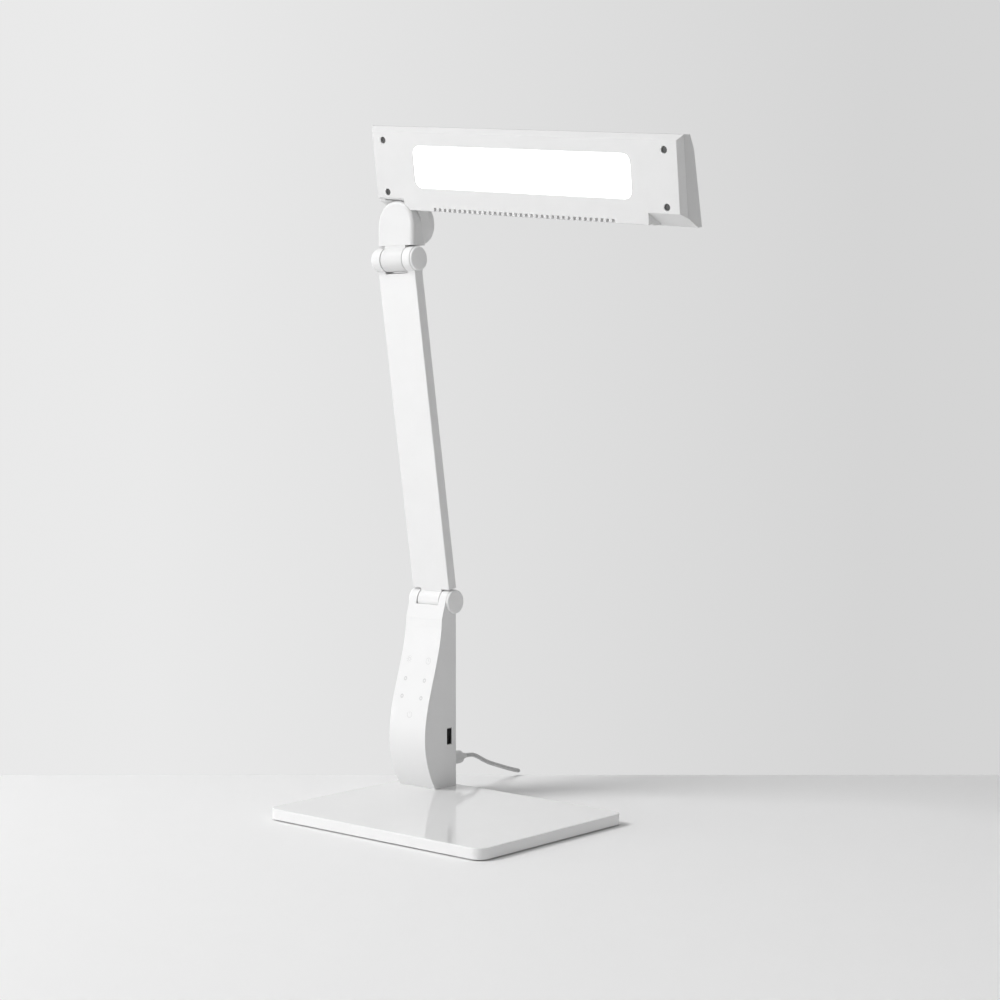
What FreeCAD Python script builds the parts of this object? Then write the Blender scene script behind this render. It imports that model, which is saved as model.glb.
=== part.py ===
"""Light therapy lamp: a long shallow light head on a flat arm, a touch stand and a weighted base.

Millimetres, +Z up, front is -Y and right is +X.
The origin is the centre of the underside of the base's anti-slip pad.
"""

import FreeCAD, Part
import math
import os

from FreeCAD import Placement, Rotation, Vector

os.makedirs("parts", exist_ok=True)

# Base
BASE_W = 214.0
BASE_D = 161.5
BASE_CORNER = 9.0
PAD_T = 1.0
PAD_INSET = 4.0
COVER_H = 8.0
BASE_WALL = 2.0
BASE_EDGE = 0.8
BOTTOM_T = 1.5
BALLAST_T = 3.6
BALLAST_W = 190.0
BALLAST_D = 136.0
BASE_SCREW_INSET = 10.0
BASE_TOP = PAD_T + COVER_H

# Stand
STAND_X = -77.0
STAND_W = 38.6
STAND_SET_IN = 4.25
STAND_WALL = 2.0
STAND_FOOT_DEPTH = 24.0
STAND_BULGE_DEPTH = 35.8
STAND_BULGE_UP = 34.0
STAND_NECK_DEPTH = 16.3
STAND_NECK_UP = 133.2
STAND_SAG_LOW = 2.1
STAND_SAG_HIGH = 1.3
COVER_TOP_UP = 127.0

# Hinges
LOW_AXIS_DEPTH = 2.1
LOW_AXIS_Z = 155.4
OPENING_DROP = 2.5
EAR_R = 9.7
KNUCKLE_R = 9.5
KNUCKLE_W = 22.0
SIDE_GAP = 0.3
WASHER_T = 0.5
PIN_D = 6.0
RUN_FIT = 0.05
CAP_R = 9.4
HIGH_CAP_R = 9.2
CAP_T = 2.2
CAP_ROUND = 1.2
BODY_GAP = 0.4
SHOULDER_GAP = 0.8

# Arm
ARM_W = 39.0
ARM_T = 8.8
ARM_LEN = 271.0
ARM_LEAN = 8.8
ARM_WALL = 1.6
ARM_EDGE = 0.8
CORE_W = 24.0
CORE_T = 3.0
TONGUE_W = 18.0
TONGUE_LEN = 22.0
FORK_BAR = 14.0
LEG_IN = 1.0

# Neck
NECK_FRONT = 4.7
NECK_ROUND = 4.0
NECK_SKIN = 2.2
PIVOT_Y = -1.3
PIVOT_UP = 25.65
DOME_R = 19.5
MATE_DEPTH = 5.5

# Head
HEAD_LEAN = 14.07
HEAD_DROOP = 5.88
PIVOT_IN = 17.5
HEAD_RISE = 46.2
FACE_HALF = 141.8
FACE_TOP = 26.5
FLARE = 3.5
COVER_DEPTH = 5.0
HEAD_WALL = 2.0
REAR_TOP_DEPTH = 11.8
REAR_TOP_DROP = 1.2
REAR_KNEE_DEPTH = 15.7
REAR_KNEE_W = 18.0
REAR_DEPTH = 20.5
BOTTOM_W = -36.5
CHAMFER_W = -24.4
CHAMFER_DEPTH = 16.5
STRIP_W = -33.0
STRIP_HALF = 115.0
VENTS = 35
VENT_PITCH = 4.94
VENT_WIDE = 2.3
VENT_TALL = 2.6
VENT_DEPTH = 14.0
EAR_DISC_R = 19.0
EAR_DISC_DEPTH = 21.0

# Light unit
WINDOW_W = 203.5
WINDOW_H = 32.3
WINDOW_UP = 0.45
WINDOW_R = 6.5
WINDOW_GAP = 0.15
LENS_T = 2.0
FLANGE = 2.8
FLANGE_T = 1.5
BOX_DEPTH = 7.0
BOX_WALL = 1.5
BOARD_T = 1.6
LED_ROWS = 2
LEDS = 18
LED_W = 3.5
LED_H = 2.8
LED_T = 0.8
SCREW_IN = 10.6
SCREW_RISE = 39.8
SCREW_HEAD_D = 4.8
SCREW_HEAD_T = 1.6
SCREW_HOLE_GAP = 0.2
SCREW_SINK = 1.0
SCREW_D = 3.0
SCREW_LEN = 10.0
BOSS_D = 7.0

# Swivel
SWIVEL_D = 8.0
SWIVEL_HEAD_D = 14.0
SWIVEL_HEAD_T = 2.0
NUT_D = 13.0
NUT_T = 4.5
SWIVEL_WASHER_D = 15.0
SWIVEL_WASHER_T = 0.8
NUT_POCKET_R = 8.5
NUT_ROOM = 1.5
POCKET_COVER_T = 1.2

# Sockets and boards
USB_DEPTH = 7.6
USB_UP = 40.1
USB_LONG = 13.1
USB_SHORT = 5.7
USB_SHEET = 0.3
USB_DEEP = 14.0
USB_PLAY = 0.15
TONGUE_LONG = 11.1
TONGUE_T = 1.8
TONGUE_DEEP = 8.8
CONTROL_W = 30.0
CONTROL_OVER = 17.0
CONTROL_GAP = 1.3
DC_UP = 17.0
DC_D = 9.5
DC_BORE = 6.4
DC_DEEP = 11.0
DC_PIN_D = 2.0
PLUG_SLEEVE_D = 5.5
PLUG_SLEEVE_BORE = 2.6
PLUG_SLEEVE = 9.0
PLUG_D = 10.5
PLUG_LEN = 26.0
RELIEF_D = 6.5
RELIEF_LEN = 6.0

# Cord
CORD_D = 3.5
CORD_GAP = 0.9
CORD_LIFT = 0.1
COIL_X = -74.0
COIL_BEHIND = 185.5
COIL_IN_R = 14.0
COIL_TURNS = 4.8
COIL_CLIMB = 0.4
LEAD_LEN = 30.0
TIE_T = 1.0
TIE_W = 4.0
TIE_PLAY = 0.3
ADAPTER_W = 34.0
ADAPTER_L = 52.0
ADAPTER_H = 27.0
ADAPTER_ROUND = 3.0
BLADE_W = 6.3
BLADE_T = 1.5
BLADE_LEN = 17.0
BLADE_APART = 12.7

# Worked out from the above
STAND_BACK = BASE_D / 2 - STAND_SET_IN
STAND_FOOT_Y = STAND_BACK - STAND_FOOT_DEPTH
STAND_BULGE_Y = STAND_BACK - STAND_BULGE_DEPTH
STAND_NECK_Y = STAND_BACK - STAND_NECK_DEPTH
LOW_AXIS_Y = STAND_BACK - LOW_AXIS_DEPTH
USB_Y = STAND_BACK - USB_DEPTH
COIL_Y = STAND_BACK + COIL_BEHIND
HEAD_REACH = FACE_HALF - PIVOT_IN
HALF_STAND = STAND_W / 2
HALF_ARM = ARM_W / 2
EAR_IN = KNUCKLE_W / 2 + SIDE_GAP + WASHER_T
SHOULDER = EAR_R + SHOULDER_GAP
SEAM_HALF = FACE_HALF + FLARE
SEAM_TOP = FACE_TOP + FLARE
SCREW_SPAN = 2 * (FACE_HALF - SCREW_IN)

X_AXIS = Vector(1, 0, 0)
Y_AXIS = Vector(0, 1, 0)
Z_AXIS = Vector(0, 0, 1)
ORIGIN = Vector(0, 0, 0)

NODES = {}


def keep(name, shape):
    """Stores one sub-part under its node name."""
    NODES[name] = shape.removeSplitter() if len(shape.Solids) == 1 else shape


def box(x0, x1, y0, y1, z0, z1):
    return Part.makeBox(x1 - x0, y1 - y0, z1 - z0, Vector(x0, y0, z0))


def cyl_x(radius, x0, x1, y=0.0, z=0.0):
    return Part.makeCylinder(radius, x1 - x0, Vector(x0, y, z), X_AXIS)


def cyl_y(radius, y0, y1, x=0.0, z=0.0):
    return Part.makeCylinder(radius, y1 - y0, Vector(x, y0, z), Y_AXIS)


def cyl_z(radius, z0, z1, x=0.0, y=0.0):
    return Part.makeCylinder(radius, z1 - z0, Vector(x, y, z0), Z_AXIS)


def rounded_plate(wide, deep, corner, z0, z1):
    """A flat plate with rounded upright corners, centred on the origin."""
    plate = box(-wide / 2, wide / 2, -deep / 2, deep / 2, z0, z1)
    upright = [e for e in plate.Edges if abs(e.tangentAt(e.FirstParameter).z) > 0.99]
    return plate.makeFillet(corner, upright)


def fuse_all(shapes):
    first = shapes[0]
    return first.fuse(shapes[1:]).removeSplitter() if len(shapes) > 1 else first


def bulged(start, end, sag):
    """The point beside the middle of start and end, in the YZ plane, that is sag off their line."""
    along = (end - start).normalize()
    across = Vector(0, -along.z, along.y)
    return (start + end) * 0.5 + across * sag


# Base


def make_base():
    top = rounded_plate(BASE_W, BASE_D, BASE_CORNER, PAD_T, BASE_TOP)
    rim = [e for e in top.Edges if abs(e.BoundBox.ZMin - BASE_TOP) < 1e-6]
    top = top.makeFillet(BASE_EDGE, rim)
    inner_w = BASE_W - 2 * BASE_WALL
    inner_d = BASE_D - 2 * BASE_WALL
    inner_r = BASE_CORNER - BASE_WALL
    ceiling = BASE_TOP - BASE_WALL
    top = top.cut(rounded_plate(inner_w, inner_d, inner_r, PAD_T, ceiling))
    posts = base_screw_places()
    top = fuse_all([top] + [cyl_z(BOSS_D / 2, PAD_T + BOTTOM_T, ceiling, x, y) for x, y in posts])
    bottom = rounded_plate(inner_w, inner_d, inner_r, PAD_T, PAD_T + BOTTOM_T)
    screws = []
    for x, y in posts:
        head = cyl_z(SCREW_HEAD_D / 2, PAD_T, PAD_T + BOTTOM_T / 2, x, y)
        screw = head.fuse(cyl_z(SCREW_D / 2, PAD_T, ceiling - 1.0, x, y)).removeSplitter()
        screws.append(screw)
        top = top.cut(screw)
        bottom = bottom.cut(screw)
    keep("base_top_cover", top)
    keep("base_bottom_cover", bottom)
    keep("base_screws", Part.Compound(screws))
    slab = rounded_plate(BALLAST_W, BALLAST_D, BASE_CORNER, PAD_T + BOTTOM_T, PAD_T + BOTTOM_T + BALLAST_T)
    keep("ballast_plate", slab)
    pad_w = BASE_W - 2 * PAD_INSET
    pad_d = BASE_D - 2 * PAD_INSET
    keep("anti_slip_pad", rounded_plate(pad_w, pad_d, BASE_CORNER - PAD_INSET / 2, 0, PAD_T))


def base_screw_places():
    x = BASE_W / 2 - BASE_WALL - BASE_SCREW_INSET / 2
    y = BASE_D / 2 - BASE_WALL - BASE_SCREW_INSET / 2
    return [(sx * x, sy * y) for sx in (-1, 1) for sy in (-1, 1)]


# Stand, modelled about X = 0 and moved to STAND_X


def front_curve(inset):
    """The stand's swelling front in side view, moved back by inset."""
    foot = Vector(0, STAND_FOOT_Y, BASE_TOP)
    bulge = Vector(0, STAND_BULGE_Y, BASE_TOP + STAND_BULGE_UP)
    top = Vector(0, STAND_NECK_Y, BASE_TOP + STAND_NECK_UP)
    through = [foot, bulged(foot, bulge, STAND_SAG_LOW), bulge, bulged(bulge, top, STAND_SAG_HIGH), top]
    curve = Part.BSplineCurve()
    curve.interpolate([p + Y_AXIS * inset for p in through])
    return curve


def closed_outline(curve, corners):
    """The wire that starts with a curve and goes on straight through the corners, back to its start."""
    first = curve.value(curve.FirstParameter)
    last = curve.value(curve.LastParameter)
    stops = [last] + corners + [first]
    edges = [curve.toShape()]
    for a, b in zip(stops, stops[1:]):
        edges.append(Part.LineSegment(a, b).toShape())
    return Part.Wire(edges)


def stand_outline():
    """The stand's side outline below the hinge ears, with a straight rise that touches their round."""
    curve = front_curve(0)
    away = curve.value(curve.LastParameter) - Vector(0, LOW_AXIS_Y, LOW_AXIS_Z)
    turn = math.acos(EAR_R / away.Length)
    angle = math.atan2(away.z, away.y) - turn
    touch = Vector(0, LOW_AXIS_Y + EAR_R * math.cos(angle), LOW_AXIS_Z + EAR_R * math.sin(angle))
    back_z = LOW_AXIS_Z - math.sqrt(EAR_R**2 - (STAND_BACK - LOW_AXIS_Y) ** 2)
    return closed_outline(curve, [touch, Vector(0, STAND_BACK, back_z), Vector(0, STAND_BACK, BASE_TOP)])


def stand_inside(inset, half):
    """The block inside the stand that stays inset away from its front, back and foot."""
    curve = front_curve(inset)
    back = STAND_BACK - inset
    roof = BASE_TOP + STAND_NECK_UP
    block = across_x(closed_outline(curve, [Vector(0, back, roof), Vector(0, back, BASE_TOP)]), half)
    return block.common(box(-half, half, 0, back, BASE_TOP + STAND_WALL, roof))


def across_x(wire, half):
    """The solid that a YZ outline makes from -half to half in X."""
    face = Part.Face(wire)
    face.translate(Vector(-half, 0, 0))
    return face.extrude(Vector(2 * half, 0, 0))


def stand_bodies():
    """The stand's outer body and its cavity."""
    body = across_x(stand_outline(), HALF_STAND)
    ears = cyl_x(EAR_R, -HALF_STAND, HALF_STAND, LOW_AXIS_Y, LOW_AXIS_Z)
    body = body.fuse(ears).removeSplitter()
    body = body.cut(cyl_x(KNUCKLE_R + BODY_GAP, -EAR_IN, EAR_IN, LOW_AXIS_Y, LOW_AXIS_Z))
    sill = LOW_AXIS_Z - OPENING_DROP
    body = body.cut(box(-EAR_IN, EAR_IN, 0, STAND_BACK + EAR_R * 2, sill, LOW_AXIS_Z + EAR_R * 2))
    return body, stand_inside(STAND_WALL, HALF_STAND - STAND_WALL)


def make_stand():
    body, cavity = stand_bodies()
    front_zone = across_x(stand_outline(), HALF_STAND).cut(stand_inside(STAND_WALL, HALF_STAND + 1))
    low = BASE_TOP + STAND_WALL
    high = BASE_TOP + COVER_TOP_UP
    middle = (STAND_FOOT_Y + STAND_BACK) / 2
    front = front_zone.common(box(-HALF_STAND, HALF_STAND, 0, middle, low, high))
    rear = body.cut(cavity).cut(front)
    bore = cyl_x(PIN_D / 2, -HALF_STAND, HALF_STAND, LOW_AXIS_Y, LOW_AXIS_Z)
    rear = rear.cut(bore)
    usb_z = BASE_TOP + USB_UP
    hole_y = USB_SHORT / 2 + USB_PLAY
    hole_z = USB_LONG / 2 + USB_PLAY
    inside = HALF_STAND - STAND_WALL
    rear = rear.cut(box(inside - 1, HALF_STAND + 1, USB_Y - hole_y, USB_Y + hole_y, usb_z - hole_z, usb_z + hole_z))
    dc_z = BASE_TOP + DC_UP
    rear = rear.cut(cyl_y(DC_D / 2, STAND_BACK - STAND_WALL - 1, STAND_BACK + 1, 0, dc_z))
    keep("stand_front_cover", at_stand(front))
    keep("stand_rear_shell", at_stand(rear))
    make_usb(usb_z)
    make_inlet(dc_z)
    make_touch_board()


def at_stand(shape):
    moved = shape.copy()
    moved.translate(Vector(STAND_X, 0, 0))
    return moved


def make_usb(usb_z):
    open_x = HALF_STAND - 0.4
    y0 = USB_Y - USB_SHORT / 2
    y1 = USB_Y + USB_SHORT / 2
    z0 = usb_z - USB_LONG / 2
    z1 = usb_z + USB_LONG / 2
    shell = box(open_x - USB_DEEP, open_x, y0, y1, z0, z1)
    s = USB_SHEET
    back = open_x - USB_DEEP + s
    shell = shell.cut(box(back, open_x + 1, y0 + s, y1 - s, z0 + s, z1 - s))
    tongue = box(back, back + TONGUE_DEEP, USB_Y - TONGUE_T / 2, USB_Y + TONGUE_T / 2, usb_z - TONGUE_LONG / 2,
                 usb_z + TONGUE_LONG / 2)
    low = BASE_TOP + DC_UP + DC_D / 2 + CONTROL_GAP
    high = usb_z + CONTROL_OVER
    board = box(-CONTROL_W / 2, CONTROL_W / 2, y1, y1 + BOARD_T, low, high)
    inner_back = STAND_BACK - STAND_WALL
    posts = [cyl_y(BOSS_D / 2, y1 + BOARD_T, inner_back, 0, z) for z in (low + BOSS_D, high - BOSS_D)]
    keep("usb_socket_shell", at_stand(shell))
    keep("usb_tongue", at_stand(tongue))
    keep("control_board", at_stand(board))
    keep("control_board_posts", at_stand(Part.Compound(posts)))


def make_inlet(dc_z):
    y0 = STAND_BACK - DC_DEEP
    barrel = cyl_y(DC_D / 2, y0, STAND_BACK, 0, dc_z)
    barrel = barrel.cut(cyl_y(DC_BORE / 2, y0 + 1, STAND_BACK + 1, 0, dc_z))
    barrel = barrel.fuse(cyl_y(DC_PIN_D / 2, y0, STAND_BACK - 1.5, 0, dc_z)).removeSplitter()
    keep("dc_inlet", at_stand(barrel))
    start = STAND_BACK + SIDE_GAP
    plug = cyl_y(PLUG_D / 2, start, STAND_BACK + PLUG_LEN, 0, dc_z)
    ends = [e for e in plug.Edges if e.Closed]
    plug = plug.makeFillet(BASE_EDGE, ends)
    sleeve = cyl_y(PLUG_SLEEVE_D / 2, start - PLUG_SLEEVE, start, 0, dc_z)
    sleeve = sleeve.cut(cyl_y(PLUG_SLEEVE_BORE / 2, start - PLUG_SLEEVE - 1, start, 0, dc_z))
    end = STAND_BACK + PLUG_LEN
    relief = Part.makeCone(RELIEF_D / 2, CORD_D / 2 + 0.5, RELIEF_LEN, Vector(0, end, dc_z), Y_AXIS)
    keep("dc_plug", at_stand(plug))
    keep("dc_plug_sleeve", at_stand(sleeve))
    keep("plug_strain_relief", at_stand(relief))


def make_touch_board():
    """A thin sensor board that leans on the inner face of the front cover."""
    half = HALF_STAND - STAND_WALL - 1.0
    front = STAND_WALL + SIDE_GAP
    layer = stand_inside(front, half).cut(stand_inside(front + BOARD_T / 2, half + 1))
    low = BASE_TOP + STAND_BULGE_UP + 12.0
    board = layer.common(box(-half, half, 0, STAND_NECK_Y + 2, low, BASE_TOP + COVER_TOP_UP - 12.0))
    keep("touch_sensor_board", at_stand(board))


# Hinge hardware


def hinge_hardware(prefix, half_body, cap_r, place):
    """The pin, the two friction washers and the two end caps of one hinge, about the X axis."""
    pin = cyl_x(PIN_D / 2, -half_body, half_body)
    washers = []
    caps = []
    for side in (-1, 1):
        inner = side * (KNUCKLE_W / 2 + SIDE_GAP)
        outer = side * EAR_IN
        x0, x1 = sorted((inner, outer))
        washer = cyl_x(KNUCKLE_R - 1.0, x0, x1)
        washers.append(washer.cut(cyl_x(PIN_D / 2, x0 - 1, x1 + 1)))
        x0, x1 = sorted((side * half_body, side * (half_body + CAP_T)))
        cap = cyl_x(cap_r, x0, x1)
        rim = [e for e in cap.Edges if abs(e.BoundBox.XMin - side * (half_body + CAP_T)) < 1e-6]
        caps.append(cap.makeFillet(CAP_ROUND, rim))
    for name, shape in (("pin", pin), ("washers", Part.Compound(washers)), ("caps", Part.Compound(caps))):
        keep(prefix + "_hinge_" + name, placed(shape, place))


def placed(shape, place):
    moved = shape.copy()
    moved.Placement = place.multiply(moved.Placement)
    return moved


def lean(angle):
    """Turns the top of a piece toward the front by angle degrees."""
    return Placement(ORIGIN, Rotation(X_AXIS, angle))


LOW_PLACE = Placement(Vector(STAND_X, LOW_AXIS_Y, LOW_AXIS_Z), Rotation())
ARM_PLACE = LOW_PLACE.multiply(lean(ARM_LEAN))
HIGH_AXIS = ARM_PLACE.multVec(Vector(0, 0, ARM_LEN))
NECK_PLACE = Placement(HIGH_AXIS, Rotation())
PIVOT_PLACE = NECK_PLACE.multiply(Placement(Vector(0, PIVOT_Y, PIVOT_UP), Rotation(X_AXIS, HEAD_LEAN)))
DROOP = Placement(ORIGIN, Rotation(Y_AXIS, HEAD_DROOP))
FACE_PLACE = PIVOT_PLACE.multiply(DROOP).multiply(Placement(Vector(HEAD_REACH, 0, HEAD_RISE), Rotation()))


# Arm, modelled upright about the lower hinge axis


def make_arm():
    half_t = ARM_T / 2
    low = SHOULDER
    high = ARM_LEN - SHOULDER
    outer = box(-HALF_ARM, HALF_ARM, -half_t, half_t, low, high)
    upright = [e for e in outer.Edges if abs(e.tangentAt(e.FirstParameter).z) > 0.99]
    outer = outer.makeFillet(ARM_EDGE, upright)
    w = ARM_WALL
    hollow = box(-HALF_ARM + w, HALF_ARM - w, -half_t + w, half_t - w, low + w, high - w)
    ways = arm_end_ways(low, high)
    skin = outer.cut(hollow).cut(ways)
    keep("arm_front_shell", placed(skin.common(box(-ARM_W, ARM_W, -ARM_T, 0, low, high)), ARM_PLACE))
    keep("arm_rear_shell", placed(skin.common(box(-ARM_W, ARM_W, 0, ARM_T, low, high)), ARM_PLACE))
    make_arm_knuckle(low)
    make_arm_fork(high)
    bar_low = low + w + TONGUE_LEN
    bar_high = high - w - FORK_BAR
    bar = box(-CORE_W / 2, CORE_W / 2, -CORE_T / 2, CORE_T / 2, bar_low, bar_high)
    keep("arm_core_bar", placed(bar, ARM_PLACE))
    hinge_hardware("lower", HALF_STAND, CAP_R, LOW_PLACE)
    hinge_hardware("upper", HALF_ARM, HIGH_CAP_R, placed_axis(ARM_LEN))


def placed_axis(up):
    return ARM_PLACE.multiply(Placement(Vector(0, 0, up), Rotation()))


def arm_end_ways(low, high):
    """The openings in the shells' ends that the knuckle's tongue and the fork's legs pass through."""
    w = ARM_WALL
    inner_t = ARM_T / 2 - w
    ways = [box(-TONGUE_W / 2, TONGUE_W / 2, -inner_t, inner_t, low - 1, low + w)]
    for side in (-1, 1):
        x0, x1 = sorted((side * (EAR_IN + LEG_IN), side * (HALF_ARM - w)))
        ways.append(box(x0, x1, -inner_t, inner_t, high - w, high + 1))
    return Part.Compound(ways)


def make_arm_knuckle(low):
    half_k = KNUCKLE_W / 2
    half_t = ARM_T / 2
    inner_t = half_t - ARM_WALL
    barrel = cyl_x(KNUCKLE_R, -half_k, half_k)
    web = box(-half_k, half_k, -half_t, half_t, 0, low)
    tongue = box(-TONGUE_W / 2, TONGUE_W / 2, -inner_t, inner_t, low, low + ARM_WALL + TONGUE_LEN)
    knuckle = fuse_all([barrel, web, tongue])
    knuckle = knuckle.cut(cyl_x(PIN_D / 2 + RUN_FIT, -half_k, half_k))
    keep("arm_knuckle", placed(knuckle, ARM_PLACE))


def make_arm_fork(high):
    half_t = ARM_T / 2
    inner_t = half_t - ARM_WALL
    inner_x = HALF_ARM - ARM_WALL
    parts = [box(-inner_x, inner_x, -inner_t, inner_t, high - ARM_WALL - FORK_BAR, high - ARM_WALL)]
    for side in (-1, 1):
        x0, x1 = sorted((side * EAR_IN, side * HALF_ARM))
        parts.append(cyl_x(EAR_R, x0, x1, 0, ARM_LEN))
        parts.append(box(x0, x1, -half_t, half_t, high, ARM_LEN))
        x0, x1 = sorted((side * (EAR_IN + LEG_IN), side * inner_x))
        parts.append(box(x0, x1, -inner_t, inner_t, high - ARM_WALL, high))
    fork = fuse_all(parts)
    fork = fork.cut(cyl_x(PIN_D / 2, -HALF_ARM, HALF_ARM, 0, ARM_LEN))
    keep("arm_fork", placed(fork, ARM_PLACE))


# Neck, modelled about the upper hinge axis; the swivel axis is square to the light's face


def neck_blank():
    """The neck's arched plate: a dome about the swivel axis over a straight foot."""
    into_neck = Placement(Vector(0, PIVOT_Y, PIVOT_UP), Rotation(X_AXIS, HEAD_LEAN))
    front = -NECK_FRONT * 4
    dome = cyl_y(DOME_R, front, MATE_DEPTH)
    foot = box(-DOME_R, DOME_R, front, MATE_DEPTH, -PIVOT_UP * 1.5, 0)
    blank = placed(dome.fuse(foot), into_neck).removeSplitter()
    reach = DOME_R * 4
    blank = blank.cut(box(-reach, reach, -reach, -NECK_FRONT, -reach, reach))
    return blank.cut(box(-reach, reach, -reach, reach, -reach, EAR_R + SHOULDER_GAP))


def make_neck():
    blank = neck_blank()
    edges = []
    for e in blank.Edges:
        flat = abs(e.BoundBox.YMin + NECK_FRONT) < 1e-4 and abs(e.BoundBox.YMax + NECK_FRONT) < 1e-4
        low = e.BoundBox.ZMax < EAR_R + SHOULDER_GAP + 1e-4
        if flat and not low:
            edges.append(e)
    blank = blank.makeFillet(NECK_ROUND, edges)
    reach = DOME_R * 4
    split = -NECK_FRONT + NECK_SKIN
    front = blank.common(box(-reach, reach, -reach, split, -reach, reach))
    plate = blank.cut(front)
    half_k = KNUCKLE_W / 2
    barrel = cyl_x(KNUCKLE_R, -half_k, half_k)
    web_low = KNUCKLE_R / 2
    web = box(-half_k, half_k, -NECK_FRONT, KNUCKLE_R * 0.75, web_low, EAR_R + SHOULDER_GAP)
    bracket = fuse_all([plate, barrel, web])
    bracket = bracket.cut(cyl_x(PIN_D / 2 + RUN_FIT, -half_k, half_k))
    pin, nut, washer = swivel_hardware()
    bracket = bracket.cut(pin)
    keep("neck_front_cover", placed(front, NECK_PLACE))
    keep("neck_bracket", placed(bracket, NECK_PLACE))
    keep("swivel_pin", placed(pin, NECK_PLACE))
    keep("swivel_nut", placed(nut, NECK_PLACE))
    keep("swivel_washer", placed(washer, NECK_PLACE))


def swivel_hardware():
    """The swivel's pin, nut and washer, in the neck's frame."""
    into_neck = Placement(Vector(0, PIVOT_Y, PIVOT_UP), Rotation(X_AXIS, HEAD_LEAN))
    floor = swivel_floor()
    head_y = MATE_DEPTH - SWIVEL_HEAD_T
    washer_y = floor + SIDE_GAP
    nut_y = washer_y + SWIVEL_WASHER_T
    pin = cyl_y(SWIVEL_HEAD_D / 2, head_y, MATE_DEPTH).fuse(cyl_y(SWIVEL_D / 2, MATE_DEPTH, nut_y + NUT_T))
    washer = cyl_y(SWIVEL_WASHER_D / 2, washer_y, nut_y).cut(cyl_y(SWIVEL_D / 2, washer_y, nut_y))
    corners = []
    for i in range(7):
        turn = math.radians(60 * i)
        corners.append(Vector(NUT_D / 2 * math.cos(turn), nut_y, NUT_D / 2 * math.sin(turn)))
    nut = Part.Face(Part.makePolygon(corners)).extrude(Vector(0, NUT_T, 0))
    nut = nut.cut(cyl_y(SWIVEL_D / 2, nut_y - 1, nut_y + NUT_T + 1))
    return [placed(s, into_neck) for s in (pin.removeSplitter(), nut, washer)]


def swivel_floor():
    """How deep behind the face the ear's nut pocket begins."""
    return EAR_DISC_DEPTH - POCKET_COVER_T - NUT_T - SWIVEL_WASHER_T - NUT_ROOM


# Head, modelled about the middle of its face: X along it, Y back, Z up


def rear_points():
    """The head's rear outline, from the seam at the top down to the bottom edge."""
    return [
        (COVER_DEPTH, SEAM_TOP),
        (REAR_TOP_DEPTH, SEAM_TOP - REAR_TOP_DROP),
        (REAR_KNEE_DEPTH, REAR_KNEE_W),
        (REAR_DEPTH, BOTTOM_W),
    ]


def section(points, half):
    """The solid that (depth, height) points make from -half to half along the head."""
    corners = [Vector(-half, y, z) for y, z in points]
    face = Part.Face(Part.makePolygon(corners + [corners[0]]))
    return face.extrude(Vector(2 * half, 0, 0))


def end_flare():
    """The head's plan: straight behind the seam, drawn in toward the face."""
    far = REAR_DEPTH * 2
    plan = [(-FACE_HALF, 0), (FACE_HALF, 0), (SEAM_HALF, COVER_DEPTH), (SEAM_HALF, far), (-SEAM_HALF, far),
            (-SEAM_HALF, COVER_DEPTH)]
    low = BOTTOM_W * 2
    corners = [Vector(x, y, low) for x, y in plan]
    face = Part.Face(Part.makePolygon(corners + [corners[0]]))
    return face.extrude(Vector(0, 0, 2 * abs(low)))


def head_outer():
    ends = section([(0, CHAMFER_W), (0, FACE_TOP)] + rear_points() + [(CHAMFER_DEPTH, BOTTOM_W)], SEAM_HALF)
    lip = STRIP_W - 1.2
    middle = section([(0, STRIP_W), (0, FACE_TOP)] + rear_points() + [(COVER_DEPTH, lip), (COVER_DEPTH, STRIP_W)],
                     STRIP_HALF)
    return ends.fuse(middle).removeSplitter().common(end_flare())


def head_cavity():
    w = HEAD_WALL
    top = FACE_TOP - w
    points = [
        (w, CHAMFER_W),
        (w, top),
        (REAR_TOP_DEPTH - w, top),
        (REAR_KNEE_DEPTH - w, REAR_KNEE_W - w),
        (REAR_DEPTH - w * 1.3, BOTTOM_W + w),
        (CHAMFER_DEPTH - w, BOTTOM_W + w),
    ]
    return section(points, FACE_HALF - w)


def screw_places():
    return [(sx * SCREW_SPAN / 2, sz * SCREW_RISE / 2) for sx in (-1, 1) for sz in (-1, 1)]


def head_screw(x, z):
    head = cyl_y(SCREW_HEAD_D / 2, SCREW_SINK, SCREW_SINK + SCREW_HEAD_T, x, z)
    return head.fuse(cyl_y(SCREW_D / 2, SCREW_SINK, SCREW_SINK + SCREW_LEN, x, z)).removeSplitter()


def window(grow, y0, y1):
    """A rounded block in the window's place, grown by grow on every side."""
    wide = WINDOW_W / 2 + grow
    high = WINDOW_H / 2 + grow
    block = box(-wide, wide, y0, y1, WINDOW_UP - high, WINDOW_UP + high)
    corners = [e for e in block.Edges if abs(e.tangentAt(e.FirstParameter).y) > 0.99]
    return block.makeFillet(WINDOW_R + min(grow, 0), corners)


def vents():
    cuts = []
    for i in range(VENTS):
        x = (i - (VENTS - 1) / 2) * VENT_PITCH
        low = BOTTOM_W - 1
        cuts.append(box(x - VENT_WIDE / 2, x + VENT_WIDE / 2, -1, VENT_DEPTH, low, STRIP_W + VENT_TALL))
    return Part.Compound(cuts)


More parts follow.
